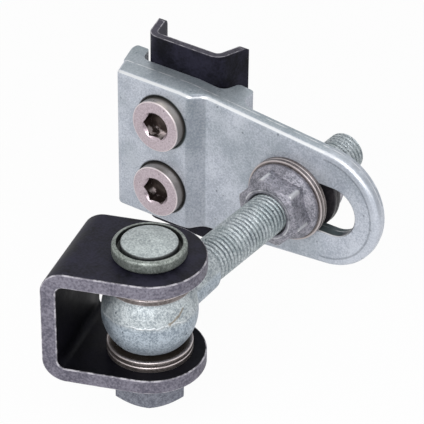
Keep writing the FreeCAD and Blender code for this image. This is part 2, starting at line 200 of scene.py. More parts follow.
class HingeColours(bpy.types.PropertyGroup):
    zinc_light: colour("Zinc light", "Bright patches of the galvanised casting", 206, 211, 221)
    zinc_dark: colour("Zinc dark", "Dull patches of the galvanised casting", 168, 175, 187)
    forging_light: colour("Forging light", "Bright patches of the eye bolt", 200, 207, 210)
    forging_dark: colour("Forging dark", "Dull patches of the eye bolt", 136, 145, 151)
    nut_light: colour("Nut light", "Bright patches of the flange nuts", 168, 166, 176)
    nut_dark: colour("Nut dark", "Dull patches of the flange nuts", 98, 99, 108)
    low_nut_light: colour("Low nut light", "Bright patches of the nut under the bracket", 136, 139, 150)
    low_nut_dark: colour("Low nut dark", "Dull patches of the nut under the bracket", 90, 93, 105)
    pin_light: colour("Pin light", "Bright patches of the pin and the clamp bar", 188, 196, 196)
    pin_dark: colour("Pin dark", "Dull patches of the pin and the clamp bar", 142, 150, 152)
    collar_light: colour("Collar light", "Bright patches of the collar", 158, 165, 160)
    collar_dark: colour("Collar dark", "Dull patches of the collar", 98, 104, 100)
    washer_light: colour("Washer light", "Bright patches of the pin's washers", 138, 130, 129)
    washer_dark: colour("Washer dark", "Dull patches of the pin's washers", 90, 83, 81)
    screw_light: colour("Screw light", "Bright patches of the cap screws", 203, 190, 197)
    screw_dark: colour("Screw dark", "Dull patches of the cap screws", 174, 159, 166)
    black_light: colour("Black light", "Worn patches of the black sheet", 42, 41, 55)
    black_dark: colour("Black dark", "Deep patches of the black sheet", 13, 13, 19)
    cut_light: colour("Cut edge light", "Bright patches of the sheet's cut edges", 134, 131, 143)
    cut_dark: colour("Cut edge dark", "Dull patches of the sheet's cut edges", 88, 86, 98)
    # Painted highlight: bright lines on the rims of rings and washers, on the cap screws' front rims and in their
    # sockets.
    washer_rim: colour("Washer rim", "Bright rims of rings and washers", 232, 222, 222)
    # Painted shade on the washers' faces inside the bracket, where the ball shades them.
    shade: colour("Shaded washer", "Oily faces of the washers inside the bracket", 62, 55, 48)
    # Painted shade: darker ring colours for the rear rings, which lie in shade behind the plate.
    dark_light: colour("Dark ring light", "Bright patches of the rear rings", 62, 58, 62)
    dark_dark: colour("Dark ring dark", "Dull patches of the rear rings", 34, 32, 38)
    # Painted shade inside the hexagon sockets.
    socket: colour("Socket", "Inside of the hexagon sockets", 50, 39, 33)
    # Painted shade in narrow gaps, in the nuts' bores and on the slot's walls.
    gap: colour("Gap", "Narrow dark gaps and the walls of the slot", 40, 43, 45)
    # Painted shade: deep gaps, the screws' seats, the screw heads' feet, the gap round the pin's dome and the bracket's
    # inside.
    painted_shade: colour("Shade", "Deep gaps and the inside of the bracket", 7, 7, 10)
    screw_side: colour("Screw side", "Rolled sides of the cap screws' heads", 148, 144, 136)
    # Painted highlight on the lit walls of the sockets.
    socket_glint: colour("Socket glint", "Bare patches inside the hexagon sockets", 190, 174, 164)
    # Burr lines along the cut edges, which are also painted highlight on the rounded edges.
    burr_and_highlight: colour("Burr", "Bright lines along the cut edges", 226, 223, 230)
    rust: colour("Rust", "Brown scratch on the ball", 116, 98, 72)
    # Bare scars such as the forging's flash line, and also painted highlights on the plate's edge and ridge and on the
    # nuts' lips and corners.
    scar_and_highlight: colour("Scar", "Bare scars on the forging", 232, 234, 236)
    # Pits in the zinc, and also painted shade in the thread's roots, on the ball's left side and on the plate's slope,
    # end sides and crease.
    pit_and_shade: colour("Pit", "Specks and pits in the zinc", 70, 78, 88)
    patina: colour("Patina", "Greenish stains on the zinc", 92, 112, 112)
    lower_tint: colour("Lower tint", "Bluish tint of the ball's lower half", 234, 239, 248)


class StudioSettings(bpy.types.PropertyGroup):
    azimuth: FloatProperty(
        name="Azimuth", description="Camera's turn about Z", default=34.706 * DEGREE, subtype="ANGLE")
    elevation: FloatProperty(
        name="Elevation", description="Camera's height angle", default=33.287 * DEGREE, subtype="ANGLE")
    roll: FloatProperty(
        name="Roll", description="Camera's turn about its view", default=0.761 * DEGREE, subtype="ANGLE")
    distance: FloatProperty(
        name="Distance", description="From the camera to the eye, along the view",
        default=774.3 * MM, unit="LENGTH")
    focal_length: FloatProperty(
        name="Focal length", description="Lens for a sensor 36 mm wide", default=189.6, min=1)
    eye_across: FloatProperty(
        name="Eye across", description="Where the eye lies in the picture, in picture widths from its middle",
        default=-0.14665)
    eye_down: FloatProperty(
        name="Eye down", description="The same downwards, in picture widths", default=0.22534)
    floor_gap: FloatProperty(
        name="Floor gap", description="Room under the hinge", default=12 * MM, unit="LENGTH")
    floor_size: FloatProperty(name="Floor size", description="Side of the floor", default=6.0, unit="LENGTH")
    key_power: FloatProperty(name="Key light", description="Power of the large soft light", default=3.6, unit="POWER")
    fill_power: FloatProperty(name="Fill light", description="Power of the side light", default=0.7, unit="POWER")
    back_power: FloatProperty(name="Back light", description="Power of the light behind", default=0.35, unit="POWER")
    sky: FloatProperty(name="Sky", description="Level of the even surroundings", default=0.25, min=0, max=1)


def linear(value):
    """Scene-linear colour with alpha, from a colour as seen on screen."""
    made = Color(value).from_srgb_to_scene_linear()
    return (made.r, made.g, made.b, 1.0)


class Wiring:
    """Adds nodes to a tree and links values, sockets and constants into them."""

    def __init__(self, tree):
        self.tree = tree
        self.column = 0

    def add(self, kind, **settings):
        node = self.tree.nodes.new(kind)
        node.location = (self.column * 180, -(self.column % 5) * 160)
        self.column += 1
        for key, value in settings.items():
            setattr(node, key, value)
        return node

    def feed(self, socket, value):
        if isinstance(value, bpy.types.NodeSocket):
            self.tree.links.new(value, socket)
        elif value is not None:
            socket.default_value = value

    def math(self, operation, *values):
        node = self.add("ShaderNodeMath", operation=operation)
        for socket, value in zip(node.inputs, values):
            self.feed(socket, value)
        return node.outputs[0]

    def ramp(self, value, low, high, to_low=0.0, to_high=1.0):
        node = self.add("ShaderNodeMapRange", interpolation_type="SMOOTHSTEP")
        for socket, fed in zip(node.inputs, (value, low, high, to_low, to_high)):
            self.feed(socket, fed)
        return node.outputs[0]

    def split(self, vector):
        node = self.add("ShaderNodeSeparateXYZ")
        self.feed(node.inputs[0], vector)
        return node.outputs

    def join(self, x, y, z):
        node = self.add("ShaderNodeCombineXYZ")
        for socket, value in zip(node.inputs, (x, y, z)):
            self.feed(socket, value)
        return node.outputs[0]

    def noise(self, vector, scale, detail=3.0, roughness=0.55):
        node = self.add("ShaderNodeTexNoise")
        self.feed(node.inputs["Vector"], vector)
        self.feed(node.inputs["Scale"], scale)
        self.feed(node.inputs["Detail"], detail)
        self.feed(node.inputs["Roughness"], roughness)
        return node.outputs["Fac"]

    def mix(self, factor, first, second, blend="MIX"):
        node = self.add("ShaderNodeMix", data_type="RGBA", blend_type=blend)
        self.feed(node.inputs["Factor"], factor)
        self.feed(node.inputs["A"], first)
        self.feed(node.inputs["B"], second)
        return node.outputs["Result"]

    def blend(self, factor, first, second):
        """Value between two others."""
        node = self.add("ShaderNodeMix", data_type="FLOAT")
        self.feed(node.inputs["Factor"], factor)
        self.feed(node.inputs["A"], first)
        self.feed(node.inputs["B"], second)
        return node.outputs["Result"]

    def length(self, first, second):
        """Length of two sides at a right angle."""
        squares = self.math("ADD", self.math("MULTIPLY", first, first), self.math("MULTIPLY", second, second))
        return self.math("SQRT", squares)

    def band(self, value, middle, half, soft):
        """1 within half of the middle, falling to 0 over a soft border."""
        off = self.math("ABSOLUTE", self.math("SUBTRACT", value, middle))
        return self.ramp(off, half, half + soft, 1.0, 0.0)

    def bump(self, height, strength, distance, normal=None):
        node = self.add("ShaderNodeBump")
        self.feed(node.inputs["Height"], height)
        self.feed(node.inputs["Strength"], strength)
        self.feed(node.inputs["Distance"], distance)
        self.feed(node.inputs["Normal"], normal)
        return node.outputs["Normal"]


def effect(name, inputs, outputs):
    """An empty shader group with its sockets, its wiring, its input sockets by name and its output node."""
    tree = bpy.data.node_groups.new(name, "ShaderNodeTree")
    for label, kind, default in inputs:
        socket = tree.interface.new_socket(name=label, in_out="INPUT", socket_type=kind)
        socket.default_value = default
    for label, kind in outputs:
        tree.interface.new_socket(name=label, in_out="OUTPUT", socket_type=kind)
    wires = Wiring(tree)
    given = wires.add("NodeGroupInput").outputs
    result = wires.add("NodeGroupOutput")
    return wires, given, result.inputs


def zinc_effect():
    """Mottled zinc: soft patches, a fine grain and scattered dark pits."""
    found = bpy.data.node_groups.get("Mottled zinc")
    if found:
        return found
    wires, given, result = effect(
        "Mottled zinc",
        [("Light", "NodeSocketColor", (0.7, 0.7, 0.7, 1)), ("Dark", "NodeSocketColor", (0.4, 0.4, 0.4, 1)),
         ("Pit", "NodeSocketColor", (0.05, 0.05, 0.06, 1)), ("Patch Scale", "NodeSocketFloat", 140.0),
         ("Grain", "NodeSocketFloat", 0.5), ("Pit Amount", "NodeSocketFloat", 0.5),
         ("Smooth", "NodeSocketFloat", 0.32), ("Dull", "NodeSocketFloat", 0.5),
         ("Relief", "NodeSocketFloat", 0.3)],
        [("Color", "NodeSocketColor"), ("Roughness", "NodeSocketFloat"), ("Normal", "NodeSocketVector")])
    place = wires.add("ShaderNodeTexCoord").outputs["Object"]
    patches = wires.noise(place, given["Patch Scale"], 4.0, 0.6)
    grain = wires.noise(place, 1300.0, 2.0, 0.8)
    fine = wires.blend(given["Grain"], patches, grain)
    body = wires.mix(wires.ramp(fine, 0.38, 0.62), given["Dark"], given["Light"])
    cells = wires.add("ShaderNodeTexVoronoi")
    wires.feed(cells.inputs["Vector"], place)
    wires.feed(cells.inputs["Scale"], 260.0)
    chance = wires.split(cells.outputs["Color"])[0]
    size = wires.ramp(chance, 0.35, 1.0, 0.0, 0.16)
    pits = wires.ramp(wires.math("SUBTRACT", size, cells.outputs["Distance"]), 0.0, 0.05)
    seen = wires.math("MULTIPLY", pits, given["Pit Amount"])
    wires.feed(result["Color"], wires.mix(seen, body, given["Pit"]))
    wires.feed(result["Roughness"], wires.blend(wires.noise(place, 420.0, 2.0), given["Smooth"], given["Dull"]))
    height = wires.math("SUBTRACT", wires.math("ADD", fine, wires.math("MULTIPLY", grain, 0.5)), pits)
    wires.feed(result["Normal"], wires.bump(height, given["Relief"], 0.25 * MM))
    return wires.tree


def turning_effect():
    """Fine rings left by a lathe, about the local Z axis of the vector fed in, and the distance from it."""
    found = bpy.data.node_groups.get("Turning marks")
    if found:
        return found
    wires, given, result = effect(
        "Turning marks",
        [("Vector", "NodeSocketVector", (0, 0, 0)), ("Spacing", "NodeSocketFloat", 0.35 * MM)],
        [("Mask", "NodeSocketFloat"), ("Radius", "NodeSocketFloat"), ("Height", "NodeSocketFloat")])
    across, along, height = wires.split(given["Vector"])
    radius = wires.length(across, along)
    wobble = wires.math("MULTIPLY", wires.noise(given["Vector"], 260.0, 2.0), 0.6 * MM)
    turns = wires.math("DIVIDE", wires.math("ADD", radius, wobble), given["Spacing"])
    wave = wires.math("SINE", wires.math("MULTIPLY", turns, math.tau))
    wires.feed(result["Mask"], wires.math("MULTIPLY", wires.math("ADD", wave, 1.0), 0.5))
    wires.feed(result["Radius"], radius)
    wires.feed(result["Height"], height)
    return wires.tree


def scale_effect():
    """Hot-rolled black sheet: cloudy scale, dust and a few fine scratches."""
    found = bpy.data.node_groups.get("Black scale")
    if found:
        return found
    wires, given, result = effect(
        "Black scale",
        [("Light", "NodeSocketColor", (0.08, 0.08, 0.1, 1)), ("Dark", "NodeSocketColor", (0.03, 0.03, 0.04, 1)),
         ("Grain", "NodeSocketFloat", 0.25), ("Relief", "NodeSocketFloat", 0.2)],
        [("Color", "NodeSocketColor"), ("Roughness", "NodeSocketFloat"), ("Normal", "NodeSocketVector")])
    place = wires.add("ShaderNodeTexCoord").outputs["Object"]
    clouds = wires.noise(place, 90.0, 4.0, 0.6)
    grain = wires.noise(place, 1100.0, 2.0)
    drawn = wires.add("ShaderNodeMapping")
    wires.feed(drawn.inputs["Vector"], place)
    drawn.inputs["Rotation"].default_value = (0.4, 0.2, 0.9)
    drawn.inputs["Scale"].default_value = (900.0, 60.0, 900.0)
    scratches = wires.ramp(wires.noise(drawn.outputs[0], 1.0, 2.0, 0.4), 0.70, 0.76)
    shade = wires.ramp(wires.blend(given["Grain"], clouds, grain), 0.35, 0.65)
    shade = wires.math("MAXIMUM", shade, wires.math("MULTIPLY", scratches, 0.9))
    wires.feed(result["Color"], wires.mix(shade, given["Dark"], given["Light"]))
    wires.feed(result["Roughness"], wires.ramp(clouds, 0.3, 0.7, 0.42, 0.56))
    wires.feed(result["Normal"], wires.bump(wires.math("ADD", grain, clouds), given["Relief"], 0.2 * MM))
    return wires.tree


class Finish:
    """A new material with its Principled shader and wiring."""

    def __init__(self, name, metallic, specular=0.5):
        self.material = bpy.data.materials.new(name)
        self.material.use_nodes = True
        self.wires = Wiring(self.material.node_tree)
        self.shader = next(n for n in self.material.node_tree.nodes if n.type == "BSDF_PRINCIPLED")
        self.shader.inputs["Metallic"].default_value = metallic
        self.shader.inputs["Specular IOR Level"].default_value = specular
        self.colour = None

    def place(self):
        return self.wires.add("ShaderNodeTexCoord").outputs["Object"]

    def facing(self):
        """The three parts of the surface's direction."""
        return self.wires.split(self.wires.add("ShaderNodeTexCoord").outputs["Normal"])

    def group(self, tree, **values):
        node = self.wires.add("ShaderNodeGroup", node_tree=tree)
        for label, value in values.items():
            self.wires.feed(node.inputs[label.replace("_", " ")], value)
        return node.outputs

    def feed(self, label, value):
        self.wires.feed(self.shader.inputs[label], value)

    def paint(self, colour):
        """Sets the colour that later coats lie on."""
        self.colour = colour
        self.feed("Base Color", colour)

    def coat(self, mask, colour, amount=1.0):
        """Lays a colour over the present one where the mask is 1."""
        self.paint(self.wires.mix(self.wires.math("MULTIPLY", mask, amount), self.colour, colour))

    def about(self, spot, turn=(0.0, 0.0, 0.0)):
        """Object coordinates measured from a spot, then turned."""
        node = self.wires.add("ShaderNodeMapping", vector_type="TEXTURE")
        self.wires.feed(node.inputs["Vector"], self.place())
        node.inputs["Location"].default_value = spot
        node.inputs["Rotation"].default_value = turn
        return node.outputs[0]


def colours():
    return bpy.context.scene.hinge_colours


def sizes():
    return bpy.context.scene.hinge_sizes


def tone(name):
    """Scene-linear colour of one of the colour settings."""
    return linear(getattr(colours(), name))


def zinc_finish(name, kind, metallic=0.4, patch=140.0, grain=0.5, pits=0.5, smooth=0.34, dull=0.52, relief=0.3):
    """Zinc in the light and dark colours of a kind, such as nut or ring."""
    finish = Finish(name, metallic)
    out = finish.group(
        zinc_effect(), Light=tone(kind + "_light"), Dark=tone(kind + "_dark"), Pit=tone("pit_and_shade"),
        Patch_Scale=patch, Grain=grain, Pit_Amount=pits, Smooth=smooth, Dull=dull, Relief=relief)
    finish.feed("Roughness", out["Roughness"])
    finish.normal = out["Normal"]
    finish.feed("Normal", finish.normal)
    finish.paint(out["Color"])
    return finish


def turned_finish(name, kind, spot, turn, spacing, **zinc):
    """Zinc or bright steel with lathe rings about an axis."""
    finish = zinc_finish(name, kind, **zinc)
    marks = finish.group(turning_effect(), Vector=finish.about(spot, turn), Spacing=spacing)
    finish.coat(marks["Mask"], tone(kind + "_dark"), 0.3)
    finish.feed("Normal", finish.wires.bump(marks["Mask"], 0.12, 0.1 * MM, finish.normal))
    finish.radius = marks["Radius"]
    finish.height = marks["Height"]
    return finish


def ring_finish(name, rim, low, thickness, turn, spot, **zinc):
    """Bright steel for a pair of rings: painted highlight lines along the rims, dull rims and faces between them."""
    finish = turned_finish(name, "washer", spot, turn, 0.5 * MM, **zinc)
    wires = finish.wires
    level = wires.math("DIVIDE", wires.math("SUBTRACT", finish.height, low), thickness)
    off = wires.math("ABSOLUTE", wires.math("SUBTRACT", wires.math("FRACT", level), 0.5))
    # Painted highlight lines along the rims.
    edge = wires.math("MULTIPLY", wires.ramp(off, 0.28, 0.42), wires.ramp(finish.radius, rim - 0.8 * MM, rim - 0.4 * MM))
    finish.coat(edge, tone("washer_rim"), 0.55)
    return finish


def black_finish(name, masks, bareness=1.0):
    """Black sheet with lighter sawn faces; masks gives those faces, their borders, which get a painted highlight line
    that is partly burr, and the places of painted shade.
    """
    finish = Finish(name, 0.0, 0.1)
    sheet = finish.group(scale_effect(), Light=tone("black_light"), Dark=tone("black_dark"), Relief=0.25)
    edge = finish.group(scale_effect(), Light=tone("cut_light"), Dark=tone("cut_dark"), Grain=0.6, Relief=0.35)
    finish.paint(sheet["Color"])
    bare, border, shade_mask = masks(finish)
    # Painted shade where the masks give it, such as inside the bracket's U.
    if shade_mask:
        finish.coat(shade_mask, tone("painted_shade"), 0.85)
    finish.coat(bare, edge["Color"], bareness)
    # Painted highlight line along the sheet's borders, partly burr, broken up by noise.
    breakup = finish.wires.ramp(finish.wires.noise(finish.place(), 420.0, 3.0), 0.4, 0.6, 0.2, 1.0)
    finish.coat(finish.wires.math("MULTIPLY", border, breakup), tone("burr_and_highlight"), 0.6)
    finish.feed("Roughness", sheet["Roughness"])
    finish.feed("Normal", sheet["Normal"])
    return finish.material


def merged_copy(node, name, smooth_angle=32 * DEGREE):
    """A clean copy of a CAD node, which it replaces: joined triangles and smooth curved faces."""
    mesh = frame["nodes"][node].data.copy()
    mesh.name = name
    shape = bmesh.new()
    shape.from_mesh(mesh)
    bmesh.ops.remove_doubles(shape, verts=shape.verts, dist=0.0005 * MM)
    bmesh.ops.dissolve_limit(shape, angle_limit=0.4 * DEGREE, verts=shape.verts, edges=shape.edges)
    shape.to_mesh(mesh)
    shape.free()
    if mesh.has_custom_normals:
        mesh.attributes.remove(mesh.attributes["custom_normal"])
    piece = bpy.data.objects.new(name, mesh)
    bpy.context.scene.collection.objects.link(piece)
    mesh.shade_smooth()
    mesh.set_sharp_from_angle(angle=smooth_angle)
    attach(piece, frame["nodes"][node]["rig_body"])
    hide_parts(node)
    return piece


def rounded(piece, width, angle=35 * DEGREE, steps=2, clamp=True):
    """Rounds a piece's sharp edges; without the clamp, short edges nearby don't narrow the rounding."""
    bevel = piece.modifiers.new("Rounded edges", "BEVEL")
    bevel.width = width
    bevel.segments = steps
    bevel.limit_method = "ANGLE"
    bevel.angle_limit = angle
    bevel.use_clamp_overlap = clamp
    return piece


def finished(piece, material):
    piece.data.materials.clear()
    piece.data.materials.append(material)
    return piece


def thread_tree():
    """Geometry Nodes: a closed threaded rod about +Y, from the start, with its crest kept as an attribute."""
    tree = bpy.data.node_groups.new("Threaded rod", "GeometryNodeTree")
    for label, kind, default in (
        ("Radius", "NodeSocketFloat", 8 * MM), ("Depth", "NodeSocketFloat", MM),
        ("Pitch", "NodeSocketFloat", 2 * MM), ("Crest", "NodeSocketFloat", 0.6 * MM),
        ("Length", "NodeSocketFloat", 50 * MM),
        ("Tip", "NodeSocketFloat", 1.5 * MM), ("Around", "NodeSocketInt", 64), ("Rows", "NodeSocketInt", 200),
        ("Start", "NodeSocketVector", (0, 0, 0)), ("Material", "NodeSocketMaterial", None),
    ):
        socket = tree.interface.new_socket(name=label, in_out="INPUT", socket_type=kind)
        if default is not None:
            socket.default_value = default
    tree.interface.new_socket(name="Geometry", in_out="OUTPUT", socket_type="NodeSocketGeometry")
    wires = Wiring(tree)
    given = wires.add("NodeGroupInput").outputs
    grid = wires.add("GeometryNodeMeshGrid")
    wires.feed(grid.inputs["Size X"], 1.0)
    wires.feed(grid.inputs["Size Y"], 1.0)
    wires.feed(grid.inputs["Vertices X"], wires.math("ADD", given["Around"], 1.0))
    wires.feed(grid.inputs["Vertices Y"], given["Rows"])
    x, y, _ = wires.split(wires.add("GeometryNodeInputPosition").outputs[0])
    turn = wires.math("MULTIPLY", wires.math("ADD", x, 0.5), math.tau)
    last = wires.math("SUBTRACT", given["Rows"], 1.0)
    row = wires.math("ROUND", wires.math("MULTIPLY", wires.math("ADD", y, 0.5), last))
    share = wires.math("DIVIDE", wires.math("SUBTRACT", row, 1.0), wires.math("SUBTRACT", last, 2.0))
    share = wires.math("MINIMUM", wires.math("MAXIMUM", share, 0.0), 1.0)
    along = wires.math("MULTIPLY", share, given["Length"])
    left = wires.math("SUBTRACT", given["Length"], along)
    turned_on = wires.math("SUBTRACT", wires.math("DIVIDE", along, given["Pitch"]),
                           wires.math("SUBTRACT", wires.math("DIVIDE", turn, math.tau), 0.25))
    phase = wires.math("FRACT", turned_on)
    flat = wires.math("DIVIDE", given["Crest"], given["Pitch"])
    valley = wires.math("DIVIDE", wires.math("ADD", flat, 1.0), 2.0)
    reach = wires.math("DIVIDE", wires.math("SUBTRACT", 1.0, flat), 2.0)
    off = wires.math("DIVIDE", wires.math("ABSOLUTE", wires.math("SUBTRACT", phase, valley)), reach)
    crest = wires.ramp(off, 0.0, 1.0)
    groove = wires.math("SUBTRACT", 1.0, crest)
    radius = wires.math("SUBTRACT", given["Radius"], wires.math("MULTIPLY", groove, given["Depth"]))
    tip_limit = wires.math("ADD", wires.math("SUBTRACT", given["Radius"], given["Tip"]), left)
    radius = wires.math("MINIMUM", radius, tip_limit)
    inside = wires.math("MULTIPLY", wires.math("GREATER_THAN", row, 0.5),
                        wires.math("LESS_THAN", row, wires.math("SUBTRACT", last, 0.5)))
    radius = wires.math("MULTIPLY", radius, inside)
    spot = wires.join(wires.math("MULTIPLY", radius, wires.math("SINE", turn)), along,
                      wires.math("MULTIPLY", radius, wires.math("COSINE", turn)))
    shifted = wires.add("ShaderNodeVectorMath", operation="ADD")
    wires.feed(shifted.inputs[0], spot)
    wires.feed(shifted.inputs[1], given["Start"])
    keep = wires.add("GeometryNodeStoreNamedAttribute", data_type="FLOAT", domain="POINT")
    wires.feed(keep.inputs["Geometry"], grid.outputs["Mesh"])
    wires.feed(keep.inputs["Name"], "crest")
    wires.feed(keep.inputs["Value"], crest)
    move = wires.add("GeometryNodeSetPosition")
    wires.feed(move.inputs["Geometry"], keep.outputs["Geometry"])
    wires.feed(move.inputs["Position"], shifted.outputs[0])
    close = wires.add("GeometryNodeMergeByDistance")
    wires.feed(close.inputs["Geometry"], move.outputs["Geometry"])
    wires.feed(close.inputs["Distance"], 0.002 * MM)
    real = wires.add("GeometryNodeRealizeInstances")
    wires.feed(real.inputs[0], close.outputs["Geometry"])
    paint = wires.add("GeometryNodeSetMaterial")
    wires.feed(paint.inputs["Geometry"], real.outputs[0])
    wires.feed(paint.inputs["Material"], given["Material"])
    wires.feed(wires.add("NodeGroupOutput").inputs["Geometry"], paint.outputs["Geometry"])
    return tree


def grown(name, tree, **values):
    """Plain mesh made by a Geometry Nodes tree from the given values."""
    host = bpy.data.objects.new(name, bpy.data.meshes.new(name))
    bpy.context.scene.collection.objects.link(host)
    grow = host.modifiers.new(name, "NODES")
    grow.node_group = tree
    for item in tree.interface.items_tree:
        label = item.name.replace(" ", "_")
        if item.in_out == "INPUT" and label in values:
            grow[item.identifier] = values[label]
    bpy.context.view_layer.update()
    made = bpy.data.meshes.new_from_object(host.evaluated_get(bpy.context.evaluated_depsgraph_get()))
    bpy.data.objects.remove(host)
    shape = bmesh.new()
    shape.from_mesh(made)
    bmesh.ops.recalc_face_normals(shape, faces=shape.faces)
    shape.to_mesh(made)
    shape.free()
    return made


def join_in(piece, mesh):
    """Adds another mesh, with its material, to a piece."""
    extra = bpy.data.objects.new("extra", mesh)
    bpy.context.scene.collection.objects.link(extra)
    with bpy.context.temp_override(active_object=piece, selected_editable_objects=[piece, extra]):
        bpy.ops.object.join()
    return piece


class GATE_OT_eye_bolt(bpy.types.Operator):
    """Eye bolt: forged ball and neck from the solid, and a real thread on the shank"""
    bl_idname = "gate.eye_bolt"
    bl_label = "Eye bolt"

    def forging(self):
        finish = zinc_finish("galvanised forging", "forging", patch=190.0, grain=0.7, pits=0.8,
                             smooth=0.4, dull=0.58, relief=0.5)
        wires = finish.wires
        _, along, up = wires.split(finish.about(EYE))
        wobble = wires.math("SUBTRACT", wires.noise(finish.place(), 150.0, 3.0), 0.5)
        wander = wires.math("MULTIPLY", wobble, 5 * MM)
        off = wires.math("ABSOLUTE", wires.math("ADD", wires.math("SUBTRACT", up, sizes().flash_height), wander))
        flash = wires.math("MULTIPLY", wires.ramp(off, 0.0, 0.45 * MM, 1.0, 0.0),
                           wires.ramp(along, -6 * MM, 2 * MM, 1.0, 0.0))
        near, under = finish.about(EYE), wires.ramp(up, sizes().flash_height - 2 * MM, sizes().flash_height + MM, 1.0, 0.0)
        finish.paint(wires.mix(under, finish.colour, tone("lower_tint"), "MULTIPLY"))
        east, north, _ = wires.split(near)
        # Painted shade on the ball's left side, where the bracket's web shades it, mottled by noise.
        leftward = wires.math("ADD", wires.math("MULTIPLY", east, -0.82), wires.math("MULTIPLY", north, -0.57))
        painted_left_shade = wires.math("MULTIPLY", wires.ramp(leftward, 7 * MM, 15 * MM),
                           wires.ramp(wires.noise(finish.place(), 220.0, 3.0), 0.35, 0.6, 0.35, 1.0))
        finish.coat(painted_left_shade, tone("pit_and_shade"), 0.55)
        patchy = wires.ramp(wires.noise(finish.place(), 55.0, 2.0), 0.42, 0.58, 0.3, 1.0)
        finish.coat(wires.math("MULTIPLY", flash, patchy), tone("scar_and_highlight"), 0.85)
        side, down, beside = wires.split(finish.about(EYE + Vector(sizes().scratch_middle), (sizes().scratch_turn, 0, 0)))
        line = wires.ramp(wires.math("ABSOLUTE", wires.math("ADD", beside, wander)), 0.2 * MM, 0.7 * MM, 1.0, 0.0)
        ends = wires.ramp(wires.math("ABSOLUTE", down), 3.4 * MM, 4.4 * MM, 1.0, 0.0)
        scratch = wires.math("MULTIPLY", wires.math("MULTIPLY", line, ends),
                             wires.math("GREATER_THAN", side, -8 * MM))
        finish.coat(scratch, tone("rust"), 0.7)
        finish.feed("Normal", wires.bump(flash, 0.5, 0.4 * MM, finish.normal))
        return finish.material

    def thread(self):
        finish = zinc_finish("galvanised thread", "forging", patch=240.0, grain=0.75, pits=0.9,
                             smooth=0.28, dull=0.46, relief=0.5)
        crest = finish.wires.add("ShaderNodeAttribute", attribute_name="crest").outputs["Fac"]
        filled = finish.wires.ramp(finish.wires.noise(finish.place(), 140.0, 4.0, 0.7), 0.42, 0.6, 1.0, 0.25)
        finish.coat(finish.wires.ramp(finish.wires.noise(finish.place(), 90.0, 3.0), 0.4, 0.65), tone("patina"), 0.35)
        # Painted shade in the thread's roots, weaker where zinc fills them.
        groove = finish.wires.ramp(crest, 0.0, 0.85, 1.0, 0.0)
        finish.coat(finish.wires.math("MULTIPLY", groove, filled), tone("pit_and_shade"))
        return finish.material

    def execute(self, context):
        size = sizes()
        piece = merged_copy("eye_bolt", "eye_bolt_forging")
        shape = bmesh.new()
        shape.from_mesh(piece.data)
        cut = EYE + Vector((0, size.thread_start + 0.02 * MM, 0))
        bmesh.ops.bisect_plane(shape, geom=shape.verts[:] + shape.edges[:] + shape.faces[:],
                               plane_co=cut, plane_no=(0, 1, 0), clear_outer=True)
        rim = [edge for edge in shape.edges if edge.is_boundary]
        bmesh.ops.holes_fill(shape, edges=rim, sides=0)
        shape.to_mesh(piece.data)
        shape.free()
        finished(piece, self.forging())
        start = EYE + Vector((0, size.thread_start - size.thread_overrun, 0))
        length = BOLT_END - start.y
        rows = int(length / size.thread_pitch * size.per_turn) + 3
        rod = grown("threaded_shank", thread_tree(), Radius=size.thread_radius, Depth=size.thread_depth,
                    Pitch=size.thread_pitch, Crest=size.thread_crest, Length=length, Tip=size.tip_chamfer, Around=size.around,
                    Rows=rows, Start=start, Material=self.thread())
        rod.shade_smooth()
        rod.set_sharp_from_angle(angle=50 * DEGREE)
        join_in(piece, rod)
        return {"FINISHED"}


class GATE_OT_gate_bracket(bpy.types.Operator):
    """Gate bracket: the folded black U with lighter cut edges"""
    bl_idname = "gate.gate_bracket"
    bl_label = "Gate bracket"

    def masks(self, finish):
        """The side faces and round ends, which the saw left bare, their rounded borders for the painted highlight line,
        and the U's inside for painted shade.
        """
        wires = finish.wires
        along, across, up = wires.split(finish.about(EYE, (0, 0, self.turn)))
        ahead = wires.math("GREATER_THAN", along, 0.0)
        rim = wires.blend(ahead, wires.math("ABSOLUTE", across), wires.length(along, across))
        bare = wires.ramp(rim, self.half_width - 0.35 * MM, self.half_width - 0.15 * MM)
        east, north, _ = finish.facing()
        sideways = wires.math("ABSOLUTE", wires.math("SUBTRACT", wires.math("MULTIPLY", north, math.cos(self.turn)),
                                                     wires.math("MULTIPLY", east, math.sin(self.turn))))
        outward = wires.blend(ahead, sideways, wires.length(east, north))
        room = span("gate_bracket").z / 2 - sizes().bracket_sheet + 0.3 * MM
        # Painted shade inside the U, between its flanges.
        shade_mask = wires.ramp(wires.math("ABSOLUTE", up), room, room + 0.5 * MM, 1.0, 0.0)
        # The border is the band of rounded edge where the painted highlight line goes.
        return bare, wires.band(outward, 0.62, 0.25, 0.12), shade_mask

    def execute(self, context):
        self.turn = sizes().bracket_turn
        across = Vector((-math.sin(self.turn), math.cos(self.turn), 0))
        corners = frame["nodes"]["gate_bracket"].data.vertices
        self.half_width = max((corner.co - EYE).dot(across) for corner in corners)
        piece = merged_copy("gate_bracket", "gate_bracket_folded")
        rounded(piece, sizes().sheet_edge, clamp=False)
        finished(piece, black_finish("black bracket sheet", self.masks))
        return {"FINISHED"}


